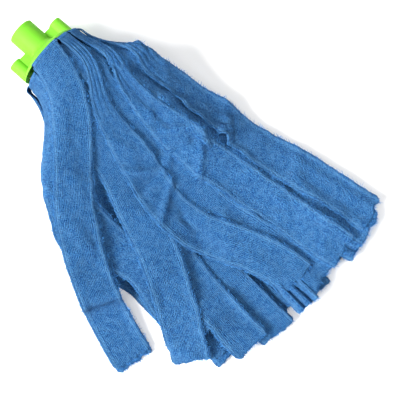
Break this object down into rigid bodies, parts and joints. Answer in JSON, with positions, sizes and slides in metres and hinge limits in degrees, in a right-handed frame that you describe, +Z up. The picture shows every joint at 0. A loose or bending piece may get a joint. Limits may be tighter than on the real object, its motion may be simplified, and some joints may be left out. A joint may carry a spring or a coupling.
{
  "type": "string mop head",
  "caption": "Mop head of wide flat microfibre strips clamped under a moulded socket for a plain round handle, lying on its side with its tails fanned out.",
  "frame": {"origin": "centre of the handle socket's mouth, on the bore's axis", "axes": "+X along the bore from the socket's mouth to the ends of the strips, +Z up with the head lying on its side"},
  "size_m": [0.3584, 0.2725, 0.0764],
  "materials": {
    "cap_plastic": "injection-moulded, low gloss",
    "plate_plastic": "injection-moulded, matte",
    "screw_steel": "zinc-plated",
    "microfibre_cloth": "looped microfibre terry knit"
  },
  "bodies": {
    "head": {"handle_socket_cap": "cap_plastic", "clamp_plate": "plate_plastic", "clamp_screws": "screw_steel", "outer_strip_1_clamped_middle": "microfibre_cloth", "outer_strip_1_lower_tail": "microfibre_cloth", "outer_strip_2_clamped_middle": "microfibre_cloth", "outer_strip_2_lower_tail": "microfibre_cloth", "outer_strip_3_clamped_middle": "microfibre_cloth", "outer_strip_3_lower_tail": "microfibre_cloth", "outer_strip_4_clamped_middle": "microfibre_cloth", "outer_strip_4_lower_tail": "microfibre_cloth", "middle_strip_1_clamped_middle": "microfibre_cloth", "middle_strip_1_upper_tail": "microfibre_cloth", "middle_strip_1_lower_tail": "microfibre_cloth", "middle_strip_2_clamped_middle": "microfibre_cloth", "middle_strip_2_upper_tail": "microfibre_cloth", "middle_strip_2_lower_tail": "microfibre_cloth", "middle_strip_3_clamped_middle": "microfibre_cloth", "middle_strip_3_upper_tail": "microfibre_cloth", "middle_strip_3_lower_tail": "microfibre_cloth", "middle_strip_4_clamped_middle": "microfibre_cloth", "middle_strip_4_upper_tail": "microfibre_cloth", "middle_strip_4_lower_tail": "microfibre_cloth", "inner_strip_1_clamped_middle": "microfibre_cloth", "inner_strip_1_upper_tail": "microfibre_cloth", "inner_strip_1_lower_tail": "microfibre_cloth", "inner_strip_2_clamped_middle": "microfibre_cloth", "inner_strip_2_upper_tail": "microfibre_cloth", "inner_strip_2_lower_tail": "microfibre_cloth", "inner_strip_3_clamped_middle": "microfibre_cloth", "inner_strip_3_upper_tail": "microfibre_cloth", "inner_strip_3_lower_tail": "microfibre_cloth", "inner_strip_4_clamped_middle": "microfibre_cloth", "inner_strip_4_upper_tail": "microfibre_cloth", "inner_strip_4_lower_tail": "microfibre_cloth"},
    "loose_tail_1": {"outer_strip_1_upper_tail": "microfibre_cloth"},
    "loose_tail_2": {"outer_strip_2_upper_tail": "microfibre_cloth"},
    "loose_tail_3": {"outer_strip_3_upper_tail": "microfibre_cloth"},
    "loose_tail_4": {"outer_strip_4_upper_tail": "microfibre_cloth"}
  },
  "joints": [
    {"name": "tail_1_lift", "type": "hinge", "parent": "head", "child": "loose_tail_1", "pos_m": [0.04038, -0.01037, 0.03616], "axis": [0, -0.9613, -0.2756], "range_deg": [0, 60]},
    {"name": "tail_2_lift", "type": "hinge", "parent": "head", "child": "loose_tail_2", "pos_m": [0.04138, 0.01162, 0.03578], "axis": [0, -0.9511, 0.309], "range_deg": [0, 60]},
    {"name": "tail_3_lift", "type": "hinge", "parent": "head", "child": "loose_tail_3", "pos_m": [0.04238, 0.02316, 0.02965], "axis": [0, -0.788, 0.6157], "range_deg": [0, 60]},
    {"name": "tail_4_lift", "type": "hinge", "parent": "head", "child": "loose_tail_4", "pos_m": [0.04338, 0.03322, 0.01766], "axis": [0, -0.4695, 0.8829], "range_deg": [0, 60]}
  ]
}
